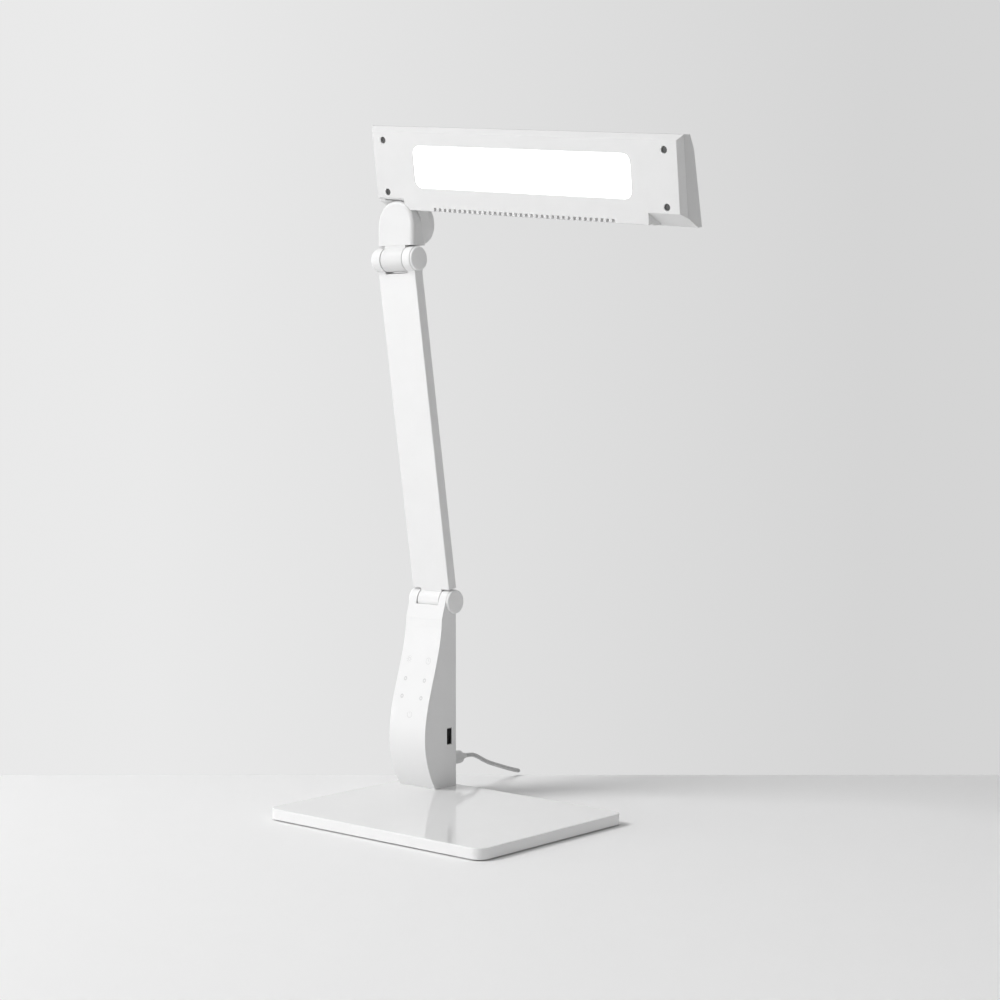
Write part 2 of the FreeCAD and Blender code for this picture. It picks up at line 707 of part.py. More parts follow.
def make_head():
    outer = head_outer()
    hollow = head_cavity()
    big = SEAM_HALF * 2
    front_zone = box(-big, big, -1, COVER_DEPTH, -big, big)
    posts = []
    for x, z in screw_places():
        posts.append(cyl_y(BOSS_D / 2, 0, REAR_DEPTH, x, z))
    hollow = hollow.cut(Part.Compound(posts))
    body = outer.cut(hollow)
    front = body.common(front_zone)
    rear = body.cut(front_zone)
    rear = add_ear(rear)
    front = front.cut(window(0, -1, HEAD_WALL + 1)).cut(dome_room())
    grille = vents()
    front = front.cut(grille)
    rear = rear.cut(grille)
    screws = []
    for x, z in screw_places():
        screw = head_screw(x, z)
        screws.append(screw)
        front = front.cut(cyl_y(SCREW_HEAD_D / 2 + SCREW_HOLE_GAP, -1, SCREW_SINK + SCREW_HEAD_T, x, z))
        front = front.cut(screw)
        rear = rear.cut(screw)
    keep("head_front_cover", placed(front, FACE_PLACE))
    keep("head_rear_housing", placed(rear, FACE_PLACE))
    keep("head_screws", placed(Part.Compound(screws), FACE_PLACE))
    make_light()


def dome_room():
    """The room in the head's lower left corner for the neck's dome, and for its foot when the head stands on end."""
    r = DOME_R + BODY_GAP
    back = MATE_DEPTH + SIDE_GAP
    dome = cyl_y(r, -REAR_DEPTH, back, -HEAD_REACH, -HEAD_RISE)
    foot = box(-HEAD_REACH - 2 * r, -HEAD_REACH, -REAR_DEPTH, back, -HEAD_RISE - r, -HEAD_RISE + r)
    return dome.fuse(foot)


def add_ear(rear):
    """Joins the swivel ear to the rear housing and cuts its bore and nut pocket."""
    x = -HEAD_REACH
    z = -HEAD_RISE
    front = MATE_DEPTH + SIDE_GAP
    rear = rear.cut(dome_room())
    disc = cyl_y(EAR_DISC_R, front, EAR_DISC_DEPTH, x, z)
    web = box(x - EAR_DISC_R, x + EAR_DISC_R, front, REAR_KNEE_DEPTH, z, BOTTOM_W + HEAD_WALL)
    rear = fuse_all([rear, disc, web])
    rear = rear.cut(cyl_y(SWIVEL_D / 2 + RUN_FIT, 0, EAR_DISC_DEPTH + 1, x, z))
    floor = swivel_floor()
    rear = rear.cut(cyl_y(NUT_POCKET_R, floor, EAR_DISC_DEPTH + 1, x, z))
    cover = cyl_y(NUT_POCKET_R, EAR_DISC_DEPTH - POCKET_COVER_T, EAR_DISC_DEPTH, x, z)
    keep("swivel_pocket_cover", placed(cover, FACE_PLACE))
    return rear


def make_light():
    lens = window(-WINDOW_GAP, 0.2, LENS_T + FLANGE_T)
    lens = lens.fuse(window(FLANGE, HEAD_WALL, HEAD_WALL + FLANGE_T)).removeSplitter()
    keep("diffuser", placed(lens, FACE_PLACE))
    box_y = HEAD_WALL + FLANGE_T
    end_y = box_y + BOX_DEPTH
    frame = window(FLANGE, box_y, end_y).cut(window(FLANGE - BOX_WALL, box_y - 1, end_y + 1))
    keep("reflector_frame", placed(frame, FACE_PLACE))
    board = window(FLANGE - 0.3, end_y, end_y + BOARD_T)
    keep("led_board", placed(board, FACE_PLACE))
    leds = []
    for row in range(LED_ROWS):
        z = WINDOW_UP + (row - (LED_ROWS - 1) / 2) * WINDOW_H / LED_ROWS
        for i in range(LEDS):
            x = (i - (LEDS - 1) / 2) * WINDOW_W / LEDS
            leds.append(box(x - LED_W / 2, x + LED_W / 2, end_y - LED_T, end_y, z - LED_H / 2, z + LED_H / 2))
    keep("leds", placed(Part.Compound(leds), FACE_PLACE))
    wide = WINDOW_W / 4
    driver = box(-wide, wide, end_y + BOARD_T, end_y + 2 * BOARD_T, CHAMFER_W, CHAMFER_W + WINDOW_H / 2)
    keep("driver_board", placed(driver, FACE_PLACE))


# Cord


def tangent_wire(points, name):
    """Straight runs joined by tangent arcs, each as large as its two runs allow."""
    edges = []
    radii = []
    start = points[0]
    for before, here, after in zip(points, points[1:], points[2:]):
        run_in = here - before
        run_out = after - here
        half_turn = run_in.getAngle(run_out) / 2
        cut = 0.45 * min(run_in.Length, run_out.Length)
        radii.append(cut / math.tan(half_turn))
        unit_in = run_in.normalize()
        unit_out = run_out.normalize()
        first = here - unit_in * cut
        last = here + unit_out * cut
        to_middle = (unit_out - unit_in).normalize()
        rise = radii[-1] * (1 / math.cos(half_turn) - 1)
        edges.append(Part.LineSegment(start, first).toShape())
        edges.append(Part.Arc(first, here + to_middle * rise, last).toShape())
        start = last
    edges.append(Part.LineSegment(start, points[-1]).toShape())
    wire = Part.Wire(edges)
    print(name, "radii in diameters:", [round(r / CORD_D, 1) for r in radii])
    return wire


def tube(wire, name):
    """A round tube along a wire, with its volume tested against section times length."""
    first = wire.Edges[0]
    start = first.valueAt(first.FirstParameter)
    along = first.tangentAt(first.FirstParameter)
    ring = Part.Wire(Part.makeCircle(CORD_D / 2, start, along))
    solid = wire.makePipeShell([ring], True, False)
    ideal = math.pi * CORD_D**2 / 4 * wire.Length
    print(name, "length", round(wire.Length, 1), "volume ratio", round(solid.Volume / ideal, 4))
    return solid


def coil_state(turn):
    """The place and heading of the coil's centreline after turn turns from its start."""
    pitch = CORD_D + CORD_GAP
    climb_at = COIL_TURNS
    climb = COIL_CLIMB
    low = TIE_T + CORD_D / 2
    out_r = COIL_IN_R + pitch * COIL_TURNS
    if turn <= climb_at:
        radius = out_r - pitch * turn
        height = low
    elif turn >= climb_at + climb:
        radius = COIL_IN_R + pitch * (turn - climb_at - climb)
        height = low + pitch
    else:
        share = (turn - climb_at) / climb
        radius = COIL_IN_R
        height = low + pitch * share * share * (3 - 2 * share)
    angle = 2 * math.pi * turn
    return Vector(COIL_X + radius * math.cos(angle), COIL_Y + radius * math.sin(angle), height)


def coil_heading(turn):
    step = 0.0005
    return (coil_state(turn + step) - coil_state(turn - step)).normalize()


def biarc(p0, t0, p1, t1):
    """Two arcs that leave p0 along t0, meet smoothly and reach p1 along t1."""
    chord = p1 - p0
    both = t0 + t1
    a = 2 * (1 - t0.dot(t1))
    b = 2 * chord.dot(both)
    c = -chord.dot(chord)
    if abs(a) < 1e-9:
        d = -c / b
    else:
        d = (-b + math.sqrt(b * b - 4 * a * c)) / (2 * a)
    q0 = p0 + t0 * d
    q1 = p1 - t1 * d
    joint = (q0 + q1) * 0.5
    return [arc_from(p0, t0, joint), arc_from(joint, (q1 - q0).normalize(), p1)]


def arc_from(start, heading, end):
    """The arc that leaves start along heading and ends at end."""
    chord = end - start
    across = chord - heading * chord.dot(heading)
    if across.Length < 1e-7:
        return Part.LineSegment(start, end).toShape()
    side = across.normalize()
    radius = chord.dot(chord) / (2 * chord.dot(side))
    centre = start + side * radius
    middle = centre + ((start + end) * 0.5 - centre).normalize() * abs(radius)
    return Part.Arc(start, middle, end).toShape()


def coil_wire():
    turns = 2 * COIL_TURNS + COIL_CLIMB
    steps = int(turns * 4)
    edges = []
    for i in range(steps):
        t0 = turns * i / steps
        t1 = turns * (i + 1) / steps
        edges += biarc(coil_state(t0), coil_heading(t0), coil_state(t1), coil_heading(t1))
    return Part.Wire(edges)


def coil_gap():
    """The least gap between the coil's turns, measured on points."""
    turns = 2 * COIL_TURNS + COIL_CLIMB
    count = 1200
    points = [coil_state(turns * i / count) for i in range(count + 1)]
    apart = int(count / turns / 2)
    least = min(points[i].distanceToPoint(p) for i in range(count) for p in points[i + apart:])
    return least - CORD_D


def cord_points():
    """The free stretch from the plug's strain relief down to the table and on to the coil."""
    dc_z = BASE_TOP + DC_UP
    y0 = STAND_BACK + PLUG_LEN + RELIEF_LEN
    rest_z = CORD_D / 2 + CORD_LIFT
    chosen = [
        Vector(STAND_X, y0, dc_z),
        Vector(STAND_X, y0 + 8.5, dc_z),
        Vector(STAND_X - 2.5, y0 + 18.5, dc_z - 3.6),
        Vector(STAND_X - 3.2, y0 + 30, dc_z - 9.6),
        Vector(STAND_X - 2.6, y0 + 43, dc_z - 14.2),
        Vector(STAND_X - 2.2, y0 + 57, dc_z - 19.0),
        Vector(STAND_X - 1.4, y0 + 71, rest_z + 1.0),
        Vector(STAND_X + 3.0, y0 + 86, rest_z),
        Vector(STAND_X + 13.0, y0 + 101, rest_z),
        Vector(STAND_X + 26.0, y0 + 115, rest_z + 0.2),
        Vector(STAND_X + 35.5, y0 + 130, rest_z + 0.8),
    ]
    coil_start = coil_state(0)
    return chosen + [coil_start - coil_heading(0) * 10.0, coil_start]


def make_cord():
    turns = 2 * COIL_TURNS + COIL_CLIMB
    keep("power_cord", tube(tangent_wire(cord_points(), "power_cord"), "power_cord"))
    keep("cord_coil", tube(coil_wire(), "cord_coil"))
    print("cord_coil least gap", round(coil_gap(), 3))
    end = coil_state(turns)
    lead_end = end + Y_AXIS * LEAD_LEN
    keep("adapter_lead", tube(Part.Wire([Part.LineSegment(end, lead_end).toShape()]), "adapter_lead"))
    make_adapter(lead_end)
    make_tie()


def make_adapter(lead_end):
    """The mains adapter lies on the table behind the coil, with its two blades away from the lead."""
    x = lead_end.x
    z = lead_end.z
    relief = Part.makeCone(CORD_D / 2 + 0.5, RELIEF_D / 2, RELIEF_LEN, lead_end, Y_AXIS)
    y0 = lead_end.y + RELIEF_LEN
    body = box(x - ADAPTER_W / 2, x + ADAPTER_W / 2, y0, y0 + ADAPTER_L, 0, ADAPTER_H)
    body = body.makeFillet(ADAPTER_ROUND, body.Edges)
    blades = []
    far = y0 + ADAPTER_L
    for side in (-1, 1):
        middle = x + side * BLADE_APART / 2
        blades.append(box(middle - BLADE_T / 2, middle + BLADE_T / 2, far, far + BLADE_LEN,
                          ADAPTER_H / 2 - BLADE_W / 2, ADAPTER_H / 2 + BLADE_W / 2))
    keep("adapter_strain_relief", relief)
    keep("power_adapter", body)
    keep("adapter_blades", Part.Compound(blades))


def make_tie():
    """A strap around all the coil's turns on its left side."""
    pitch = CORD_D + CORD_GAP
    r = CORD_D / 2 + TIE_PLAY
    far = COIL_X - COIL_IN_R - pitch * COIL_TURNS - r
    near = COIL_X - COIL_IN_R + r
    inner = box(far, near, COIL_Y - TIE_W / 2, COIL_Y + TIE_W / 2, TIE_T, TIE_T + CORD_D + pitch + TIE_PLAY)
    b = inner.BoundBox
    outer = box(b.XMin - TIE_T, b.XMax + TIE_T, b.YMin, b.YMax, 0, b.ZMax + TIE_T)
    keep("coil_tie", outer.cut(inner))


make_base()
make_stand()
make_arm()
make_neck()
make_head()
make_cord()

for node, solid in NODES.items():
    print(node, len(solid.Solids), "valid" if solid.isValid() else "BROKEN", round(solid.Volume, 1))
    solid.exportStep("parts/" + node + ".step")
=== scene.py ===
"""Light therapy lamp: materials, touch marks, free cord, camera and soft studio light, in metres."""

import math

import bmesh
import bpy
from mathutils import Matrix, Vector
from mathutils.bvhtree import BVHTree


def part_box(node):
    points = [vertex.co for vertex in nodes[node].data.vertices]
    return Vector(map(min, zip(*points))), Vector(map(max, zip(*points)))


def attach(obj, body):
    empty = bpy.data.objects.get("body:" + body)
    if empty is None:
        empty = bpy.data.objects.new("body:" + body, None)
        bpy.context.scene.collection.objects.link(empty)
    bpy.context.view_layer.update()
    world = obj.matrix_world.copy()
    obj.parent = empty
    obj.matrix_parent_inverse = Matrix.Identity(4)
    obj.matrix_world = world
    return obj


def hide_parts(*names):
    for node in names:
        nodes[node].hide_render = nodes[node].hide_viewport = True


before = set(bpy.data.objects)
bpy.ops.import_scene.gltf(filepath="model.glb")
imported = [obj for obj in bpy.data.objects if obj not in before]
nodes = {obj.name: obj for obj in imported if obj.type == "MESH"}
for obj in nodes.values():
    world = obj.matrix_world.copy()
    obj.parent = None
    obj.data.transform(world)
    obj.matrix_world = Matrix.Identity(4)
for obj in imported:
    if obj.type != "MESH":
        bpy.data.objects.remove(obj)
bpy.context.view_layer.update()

# Camera, from the photograph's perspective
CAMERA_AT = Vector((1.024555, -1.121031, 0.326909))
CAMERA_TURN = math.radians(40.8648)
CAMERA_DROP = math.radians(3.2290)
SENSOR = 36.0
LENS = 73.8
CLIP_NEAR = 0.05
CLIP_FAR = 30.0

# Room: the wall stands square to the camera's view. Its tone and the table's change from left to right:
# the wall darkens to the right as painted shade, where less light falls, and the table's paint turns a
# little lighter there as painted light
WALL_POINT = Vector((-0.0729, 0.1808, 0.0))
ALONG = Vector((math.cos(CAMERA_TURN), math.sin(CAMERA_TURN), 0))
LIFT = Vector((0, 0, 1))
ROOM = 6.0
FADE_FROM = -0.25
FADE_TO = 0.35
WALL_LIT_LEFT = 0.82
WALL_SHADED_RIGHT = 0.665
WALL_PAINT = 0.78
# Painted light: the table's paint is a little lighter to the right, to make up for the light's falloff
# there
TABLE_LEFT = 0.91
TABLE_RIGHT = 0.93
TABLE_ROUGH = 0.8
TABLE_SHINE = 0.1
TABLE_MOTTLE = 0.99

# Lights
KEY_AT = (-1.6, -2.1, 2.9)
KEY_AIM = (0, 0, 0.25)
KEY_SIZE = 1.6
KEY_POWER = 79
FILL_AT = (-1.45, -1.95, 0.35)
FILL_AIM = (0, 0, 0.2)
FILL_SIZE = 1.0
FILL_POWER = 13
WORLD_LEVEL = 0.37

# Surfaces, with the noise that makes them a little uneven
IOR = 1.5
MOTTLE_SCALE = 60.0
GLOSS_SCALE = 220.0
TABLE_SCALE = 30.0
PANEL_SCALE = 40.0
TINT_SCALE = 9.0
DETAIL = 2.0
MORE_DETAIL = 3.0
MOST_DETAIL = 4.0
RELIEF_DEPTH = 0.0001
BEVEL_SAMPLES = 6
PANEL_ROUGH = 0.35
PANEL_GLOW = 1.0
PANEL_COOL = (0.98, 0.99, 1.0)

# Touch marks on the stand's front: two columns beside its middle, three rows, and one mark below
MARK_R = 0.0024
MARK_LINE = 0.00035
MARK_LIFT = 0.00006
MARK_WELD = 1e-6
MARK_COLUMN = 0.0102
MARK_ROWS = (0.1096, 0.0946, 0.0811)
MARK_LAST = 0.0678
MARK_LAST_X = 0.001
ARC_STEPS = 20
RAY_FROM = -1.0

# Half of the power ring's opening, in degrees, and the number of the sun's rays
POWER_GAP = 35
SUN_RAYS = 8

# The marks' strokes, as shares of MARK_R
POWER_BAR = (0.3, 1.15)
LONG_HAND = 0.6
SHORT_HAND = 0.45
SUN_RAY = (0.75, 1.15)
CORE_R = 0.5
DOT_LINE = 0.4

# Cord, with the coil's values from the part's source
CORD_D = 0.0035
CORD_GAP = 0.0009
CORD_LIFT = 0.0001
COIL_X = -0.074
COIL_Y = 0.262
COIL_IN_R = 0.014
COIL_TURNS = 4.8
COIL_CLIMB = 0.4
TIE_T = 0.001
COIL_LOW = TIE_T + CORD_D / 2
LEAD_LEN = 0.030
POINTS_A_TURN = 14
STEPS_A_POINT = 6
BEVEL_STEPS = 4


# Materials


class Nodes:
    """A short way to build a material's node tree."""

    def __init__(self, name):
        self.material = bpy.data.materials.new(name)
        self.material.use_nodes = True
        self.tree = self.material.node_tree
        self.tree.nodes.clear()
        self.out = self.add("ShaderNodeOutputMaterial")

    def add(self, kind, **settings):
        node = self.tree.nodes.new(kind)
        for key, value in settings.items():
            setattr(node, key, value)
        return node

    def link(self, source, target):
        self.tree.links.new(source, target)

    def coordinates(self):
        return self.add("ShaderNodeTexCoord").outputs["Object"]

    def noise(self, scale, detail=DETAIL):
        noise = self.add("ShaderNodeTexNoise")
        noise.inputs["Scale"].default_value = scale
        noise.inputs["Detail"].default_value = detail
        self.link(self.coordinates(), noise.inputs["Vector"])
        return noise.outputs["Fac"]

    def ramp(self, source, low, high):
        """Spreads a 0 to 1 value between low and high."""
        spread = self.add("ShaderNodeMapRange")
        spread.inputs["To Min"].default_value = low
        spread.inputs["To Max"].default_value = high
        self.link(source, spread.inputs["Value"])
        return spread.outputs["Result"]

    def tint(self, source, dark, light):
        """A colour that runs between dark and light with a 0 to 1 value."""
        mix = self.add("ShaderNodeMix", data_type="RGBA")
        mix.inputs[6].default_value = (*dark, 1)
        mix.inputs[7].default_value = (*light, 1)
        self.link(source, mix.inputs[0])
        return mix.outputs[2]


def surface(name, dark, light, rough, spread=0.05, grain=1800.0, bump=0.05, edge=0.0003, metallic=0.0):
    """A moulded, painted or plated surface: faint mottle, uneven gloss, fine grain and soft edges."""
    n = Nodes(name)
    shader = n.add("ShaderNodeBsdfPrincipled")
    shader.inputs["Metallic"].default_value = metallic
    shader.inputs["IOR"].default_value = IOR
    n.link(n.tint(n.noise(MOTTLE_SCALE, MOST_DETAIL), dark, light), shader.inputs["Base Color"])
    uneven = n.ramp(n.noise(GLOSS_SCALE, MORE_DETAIL), rough - spread / 2, rough + spread / 2)
    n.link(uneven, shader.inputs["Roughness"])
    soft = n.add("ShaderNodeBevel", samples=BEVEL_SAMPLES)
    soft.inputs["Radius"].default_value = edge
    relief = n.add("ShaderNodeBump")
    relief.inputs["Strength"].default_value = bump
    relief.inputs["Distance"].default_value = RELIEF_DEPTH
    n.link(n.noise(grain), relief.inputs["Height"])
    n.link(soft.outputs["Normal"], relief.inputs["Normal"])
    n.link(relief.outputs["Normal"], shader.inputs["Normal"])
    n.link(shader.outputs["BSDF"], n.out.inputs["Surface"])
    return n.material


def grey(level):
    return (level, level, level)


def lit_panel(name):
    """The opal light panel: a bright glow with a faint, uneven cool tint."""
    n = Nodes(name)
    shader = n.add("ShaderNodeBsdfPrincipled")
    shader.inputs["Roughness"].default_value = PANEL_ROUGH
    shader.inputs["Emission Strength"].default_value = PANEL_GLOW
    n.link(n.tint(n.noise(PANEL_SCALE), grey(0.90), grey(0.93)), shader.inputs["Base Color"])
    n.link(n.tint(n.noise(TINT_SCALE), PANEL_COOL, grey(1.0)), shader.inputs["Emission Color"])
    n.link(shader.outputs["BSDF"], n.out.inputs["Surface"])
    return n.material


def sideways(n):
    """A value that goes from 0 at FADE_FROM to 1 at FADE_TO, along the wall. It spreads the wall's
    painted shade and the table's painted light from left to right.
    """
    along = n.add("ShaderNodeVectorMath", operation="DOT_PRODUCT")
    n.link(n.coordinates(), along.inputs[0])
    along.inputs[1].default_value = ALONG
    spread = n.add("ShaderNodeMapRange")
    spread.inputs["From Min"].default_value = FADE_FROM
    spread.inputs["From Max"].default_value = FADE_TO
    n.link(along.outputs["Value"], spread.inputs["Value"])
    return spread.outputs["Result"]


def backdrop(name, level_left, level_right):
    """The wall: a fixed tone to the eye and in reflections, darker to the right as painted shade, paint
    to other light, clear from behind.
    """
    n = Nodes(name)
    # The tone runs from level_left to level_right: painted shade, darker to the right where less light
    # falls
    tone = n.tint(sideways(n), grey(level_left), grey(level_right))
    glow = n.add("ShaderNodeEmission")
    n.link(tone, glow.inputs["Color"])
    paint = n.add("ShaderNodeBsdfDiffuse")
    paint.inputs["Color"].default_value = (*grey(WALL_PAINT), 1)
    path = n.add("ShaderNodeLightPath")
    direct = n.add("ShaderNodeMath", operation="MAXIMUM")
    n.link(path.outputs["Is Camera Ray"], direct.inputs[0])
    n.link(path.outputs["Is Glossy Ray"], direct.inputs[1])
    front = n.add("ShaderNodeMixShader")
    n.link(direct.outputs[0], front.inputs[0])
    n.link(paint.outputs[0], front.inputs[1])
    n.link(glow.outputs[0], front.inputs[2])
    behind = n.add("ShaderNodeMixShader")
    n.link(n.add("ShaderNodeNewGeometry").outputs["Backfacing"], behind.inputs[0])
    n.link(front.outputs[0], behind.inputs[1])
    n.link(n.add("ShaderNodeBsdfTransparent").outputs[0], behind.inputs[2])
    n.link(behind.outputs[0], n.out.inputs["Surface"])
    return n.material


def table_paint(name, level_left, level_right):
    """The matt table, painted a little lighter to the right, where less light falls."""
    n = Nodes(name)
    shader = n.add("ShaderNodeBsdfPrincipled")
    shader.inputs["Roughness"].default_value = TABLE_ROUGH
    shader.inputs["Specular IOR Level"].default_value = TABLE_SHINE
    # The tone runs from level_left to level_right: painted light, lighter to the right where less light
    # falls
    tone = n.tint(sideways(n), grey(level_left), grey(level_right))
    mottle = n.tint(n.noise(TABLE_SCALE, MORE_DETAIL), grey(TABLE_MOTTLE), grey(1.0))
    both = n.add("ShaderNodeMix", data_type="RGBA", blend_type="MULTIPLY")
    both.inputs[0].default_value = 1.0
    n.link(tone, both.inputs[6])
    n.link(mottle, both.inputs[7])
    n.link(both.outputs[2], shader.inputs["Base Color"])
    n.link(shader.outputs["BSDF"], n.out.inputs["Surface"])
    return n.material


SATIN = surface("satin_white", grey(0.80), grey(0.83), 0.42, bump=0.10)
GLOSS = surface("gloss_white", grey(0.85), grey(0.87), 0.075, spread=0.02, grain=300.0, bump=0.01)
HEAD_SATIN = surface("head_satin", grey(0.74), grey(0.77), 0.46, bump=0.14, grain=2600.0, edge=0.0006)
CAP_WHITE = surface("cap_white", grey(0.86), grey(0.88), 0.38)
PAD = surface("pad_rubber", grey(0.05), grey(0.07), 0.8, bump=0.3)
STEEL = surface("zinc_steel", grey(0.55), grey(0.66), 0.3, metallic=1.0)
SCREW = surface("dark_screw", grey(0.05), grey(0.09), 0.35, metallic=0.6)
WASHER = surface("friction_washer", grey(0.30), grey(0.36), 0.5)
SHELL = surface("connector_shell", grey(0.62), grey(0.72), 0.22, metallic=1.0)
BLACK = surface("connector_plastic", grey(0.015), grey(0.03), 0.35)
BOARD = surface("circuit_board", (0.02, 0.16, 0.05), (0.03, 0.20, 0.07), 0.35)
LED = surface("led_phosphor", (0.80, 0.66, 0.18), (0.86, 0.74, 0.26), 0.4)
PANEL = lit_panel("opal_diffuser")
CORD = surface("cord_grey", grey(0.52), grey(0.57), 0.45, grain=900.0)
PLUG = surface("plug_grey", grey(0.66), grey(0.72), 0.4)
ADAPTER = surface("adapter_white", grey(0.74), grey(0.78), 0.3)
BLADE = surface("blade_metal", (0.62, 0.60, 0.54), (0.70, 0.68, 0.62), 0.25, metallic=1.0)
TIE = surface("tie_fabric", grey(0.60), grey(0.70), 0.8, grain=1400.0, bump=0.6)
MARK = surface("touch_mark", grey(0.62), grey(0.66), 0.4)

WEARS = {
    "base_top_cover": GLOSS,
    "anti_slip_pad": PAD,
    "ballast_plate": STEEL,
    "base_screws": STEEL,
    "arm_core_bar": STEEL,
    "lower_hinge_pin": STEEL,
    "upper_hinge_pin": STEEL,
    "swivel_pin": STEEL,
    "swivel_nut": STEEL,
    "swivel_washer": STEEL,
    "head_screws": SCREW,
    "lower_hinge_washers": WASHER,
    "upper_hinge_washers": WASHER,
    "lower_hinge_caps": CAP_WHITE,
    "upper_hinge_caps": CAP_WHITE,
    "usb_socket_shell": SHELL,
    "dc_plug_sleeve": SHELL,
    "usb_tongue": BLACK,
    "dc_inlet": BLACK,
    "control_board": BOARD,
    "touch_sensor_board": BOARD,
    "led_board": BOARD,
    "driver_board": BOARD,
    "leds": LED,
    "diffuser": PANEL,
    "dc_plug": PLUG,
    "plug_strain_relief": PLUG,
    "adapter_strain_relief": PLUG,
    "power_adapter": ADAPTER,
    "adapter_blades": BLADE,
    "coil_tie": TIE,
    "head_front_cover": HEAD_SATIN,
    "head_rear_housing": HEAD_SATIN,
    "neck_front_cover": HEAD_SATIN,
    "neck_bracket": HEAD_SATIN,
}


def wear(piece, material):
    if not piece.material_slots:
        piece.data.materials.append(material)
    for slot in piece.material_slots:
        slot.material = material


for name, node in nodes.items():
    wear(node, WEARS.get(name, SATIN))


# Touch marks


def mark_piece(name, strokes, where, skin):
    """Thin flat strokes, each a list of (x, z) outline points, laid on the stand's front."""
    mesh = bpy.data.meshes.new(name)
    build = bmesh.new()
    for stroke in strokes:
        corners = []
        for x, z in stroke:
            start = Vector((where[0] + x, RAY_FROM, where[1] + z))
            hit = skin.ray_cast(start, Vector((0, 1, 0)))[0]
            corners.append(build.verts.new(hit - Vector((0, MARK_LIFT, 0))))
        build.faces.new(corners)
    bmesh.ops.remove_doubles(build, verts=build.verts, dist=MARK_WELD)
    build.to_mesh(mesh)
    build.free()
    piece = bpy.data.objects.new(name, mesh)
    bpy.context.collection.objects.link(piece)
    wear(piece, MARK)
    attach(piece, "base")


def arc_strokes(radius, start, end, line=MARK_LINE):
    """A curved line, as short quads, from start to end degrees."""
    quads = []
    for i in range(ARC_STEPS):
        a, b = (math.radians(start + (end - start) * k / ARC_STEPS) for k in (i, i + 1))
        inner, outer = radius - line / 2, radius + line / 2
        quads.append([
            (inner * math.cos(a), inner * math.sin(a)),
            (outer * math.cos(a), outer * math.sin(a)),
            (outer * math.cos(b), outer * math.sin(b)),
            (inner * math.cos(b), inner * math.sin(b)),
        ])
    return quads


def bar(x0, z0, x1, z1):
    """A straight line as one thin quad."""
    along = Vector((x1 - x0, z1 - z0)).normalized() * (MARK_LINE / 2)
    side = Vector((-along.y, along.x))
    return [
        (x0 - side.x, z0 - side.y),
        (x1 - side.x, z1 - side.y),
        (x1 + side.x, z1 + side.y),
        (x0 + side.x, z0 + side.y),
    ]


def power_mark():
    """A ring that is open at the top, with a bar in the opening."""
    low, high = POWER_BAR
    ring = arc_strokes(MARK_R, 90 + POWER_GAP, 450 - POWER_GAP)
    return ring + [bar(0, MARK_R * low, 0, MARK_R * high)]


def clock_mark():
    """A round face with two hands."""
    hands = [bar(0, 0, 0, MARK_R * LONG_HAND), bar(0, 0, MARK_R * SHORT_HAND, 0)]
    return arc_strokes(MARK_R, 0, 360) + hands


def sun_mark():
    """A small ring with rays round it."""
    near, far = SUN_RAY
    rays = []
    for i in range(SUN_RAYS):
        turn = math.radians(360 * i / SUN_RAYS)
        x, z = math.cos(turn), math.sin(turn)
        rays.append(bar(x * MARK_R * near, z * MARK_R * near, x * MARK_R * far, z * MARK_R * far))
    return arc_strokes(MARK_R * CORE_R, 0, 360) + rays


def dot_mark():
    """A small ring with a broad line."""
    return arc_strokes(MARK_R * CORE_R, 0, 360, line=MARK_R * DOT_LINE)


marks = [
    (-MARK_COLUMN, MARK_ROWS[0], sun_mark),
    (MARK_COLUMN, MARK_ROWS[0], clock_mark),
    (-MARK_COLUMN, MARK_ROWS[1], dot_mark),
    (MARK_COLUMN, MARK_ROWS[1], dot_mark),
    (-MARK_COLUMN, MARK_ROWS[2], dot_mark),
    (MARK_COLUMN, MARK_ROWS[2], dot_mark),
    (MARK_LAST_X, MARK_LAST, power_mark),
]
cover = nodes["stand_front_cover"].data
skin = BVHTree.FromPolygons([v.co.copy() for v in cover.vertices],
                            [list(p.vertices) for p in cover.polygons])
stand_low, stand_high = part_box("stand_front_cover")
stand_x = (stand_low[0] + stand_high[0]) / 2
for i, (x, z, draw) in enumerate(marks):
    mark_piece("touch_mark_%d" % i, draw(), (stand_x + x, z), skin)


# Cord


def coil_point(turn):
    """The coil's centreline after turn turns: in on the lower layer, up, and out on the upper one."""
    pitch = CORD_D + CORD_GAP
    climbed = COIL_TURNS + COIL_CLIMB
    if turn <= COIL_TURNS:
        radius, height = COIL_IN_R + pitch * (COIL_TURNS - turn), COIL_LOW
    elif turn >= climbed:
        radius, height = COIL_IN_R + pitch * (turn - climbed), COIL_LOW + pitch
    else:
        share = (turn - COIL_TURNS) / COIL_CLIMB
        radius, height = COIL_IN_R, COIL_LOW + pitch * share * share * (3 - 2 * share)
    angle = 2 * math.pi * turn
    return Vector((COIL_X + radius * math.cos(angle), COIL_Y + radius * math.sin(angle), height))


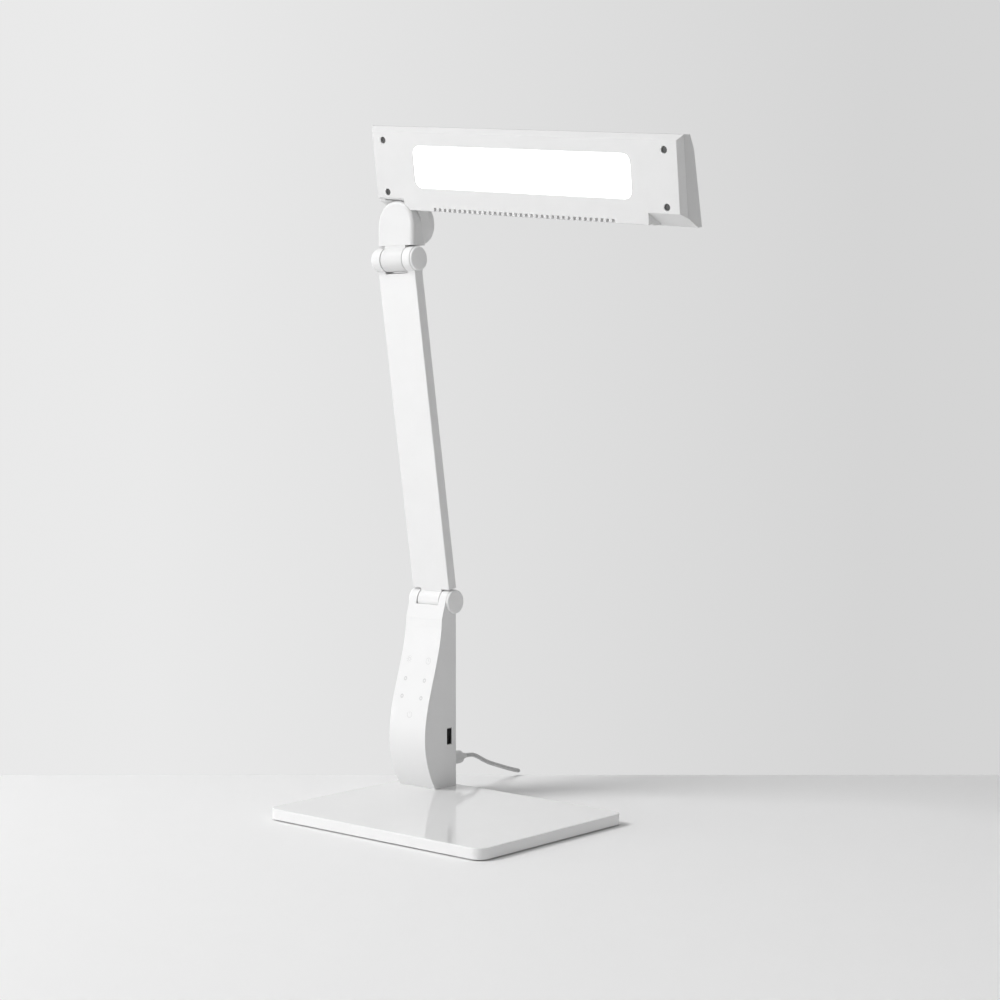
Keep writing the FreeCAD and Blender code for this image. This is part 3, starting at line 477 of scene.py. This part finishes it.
def cord_route(start):
    """Chosen points from the plug to the table, then the coil's turns and the lead to the adapter."""
    x, y, z = start
    rest = CORD_D / 2 + CORD_LIFT
    route = [
        Vector((x, y, z)),
        Vector((x, y + 0.0085, z)),
        Vector((x - 0.0025, y + 0.0185, z - 0.0036)),
        Vector((x - 0.0032, y + 0.030, z - 0.0096)),
        Vector((x - 0.0026, y + 0.043, z - 0.0142)),
        Vector((x - 0.0022, y + 0.057, z - 0.0190)),
        Vector((x - 0.0014, y + 0.071, rest + 0.001)),
        Vector((x + 0.003, y + 0.086, rest)),
        Vector((x + 0.013, y + 0.101, rest)),
        Vector((x + 0.026, y + 0.115, rest + 0.0002)),
        Vector((x + 0.0355, y + 0.130, rest + 0.0008)),
        coil_point(0) - Vector((0, 0.010, 0)),
    ]
    turns = 2 * COIL_TURNS + COIL_CLIMB
    count = round(turns * POINTS_A_TURN)
    route += [coil_point(turns * i / count) for i in range(count + 1)]
    end = route[-1]
    return route + [end + Vector((0, LEAD_LEN * 0.5, 0)), end + Vector((0, LEAD_LEN, 0))]


def make_cord():
    low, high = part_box("plug_strain_relief")
    start = ((low[0] + high[0]) / 2, high[1], (low[2] + high[2]) / 2)
    points = cord_route(start)
    curve = bpy.data.curves.new("free_cord", "CURVE")
    curve.dimensions = "3D"
    curve.resolution_u = STEPS_A_POINT
    curve.bevel_depth = CORD_D / 2
    curve.bevel_resolution = BEVEL_STEPS
    curve.use_fill_caps = True
    spline = curve.splines.new("NURBS")
    spline.points.add(len(points) - 1)
    for point, place in zip(spline.points, points):
        point.co = (*place, 1)
    spline.order_u = 3
    spline.use_endpoint_u = True
    cord = bpy.data.objects.new("free_cord", curve)
    bpy.context.collection.objects.link(cord)
    wear(cord, CORD)
    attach(cord, "base")
    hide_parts("power_cord", "cord_coil", "adapter_lead")


make_cord()


# Camera and room

camera = bpy.data.objects.new("camera", bpy.data.cameras.new("camera"))
bpy.context.collection.objects.link(camera)
camera.data.sensor_width = SENSOR
camera.data.lens = LENS
camera.data.clip_start = CLIP_NEAR
camera.data.clip_end = CLIP_FAR
camera.location = CAMERA_AT
camera.rotation_euler = (math.radians(90) - CAMERA_DROP, 0, CAMERA_TURN)
bpy.context.scene.camera = camera


def sheet_piece(name, corners, material):
    mesh = bpy.data.meshes.new(name)
    mesh.from_pydata([tuple(c) for c in corners], [], [(0, 1, 2, 3)])
    piece = bpy.data.objects.new(name, mesh)
    bpy.context.collection.objects.link(piece)
    wear(piece, material)


FLOOR = table_paint("table_paint", TABLE_LEFT, TABLE_RIGHT)
WALL = backdrop("wall_paint", WALL_LIT_LEFT, WALL_SHADED_RIGHT)
sheet_piece("table", [(-ROOM, -ROOM, 0), (ROOM, -ROOM, 0), (ROOM, ROOM, 0), (-ROOM, ROOM, 0)], FLOOR)
sheet_piece("wall", [WALL_POINT - ALONG * ROOM, WALL_POINT + ALONG * ROOM,
                     WALL_POINT + (ALONG + LIFT) * ROOM, WALL_POINT + (LIFT - ALONG) * ROOM], WALL)


def area_light(name, place, target, size, power):
    light = bpy.data.lights.new(name, "AREA")
    light.shape = "DISK"
    light.size = size
    light.energy = power
    lamp = bpy.data.objects.new(name, light)
    bpy.context.collection.objects.link(lamp)
    lamp.location = place
    lamp.rotation_euler = (Vector(target) - Vector(place)).to_track_quat("-Z", "Y").to_euler()


area_light("key", KEY_AT, KEY_AIM, KEY_SIZE, KEY_POWER)
area_light("fill", FILL_AT, FILL_AIM, FILL_SIZE, FILL_POWER)

world = bpy.data.worlds.new("studio")
world.use_nodes = True
world.node_tree.nodes["Background"].inputs["Color"].default_value = (*grey(1.0), 1)
world.node_tree.nodes["Background"].inputs["Strength"].default_value = WORLD_LEVEL
bpy.context.scene.world = world
bpy.context.scene.view_settings.view_transform = "Standard"
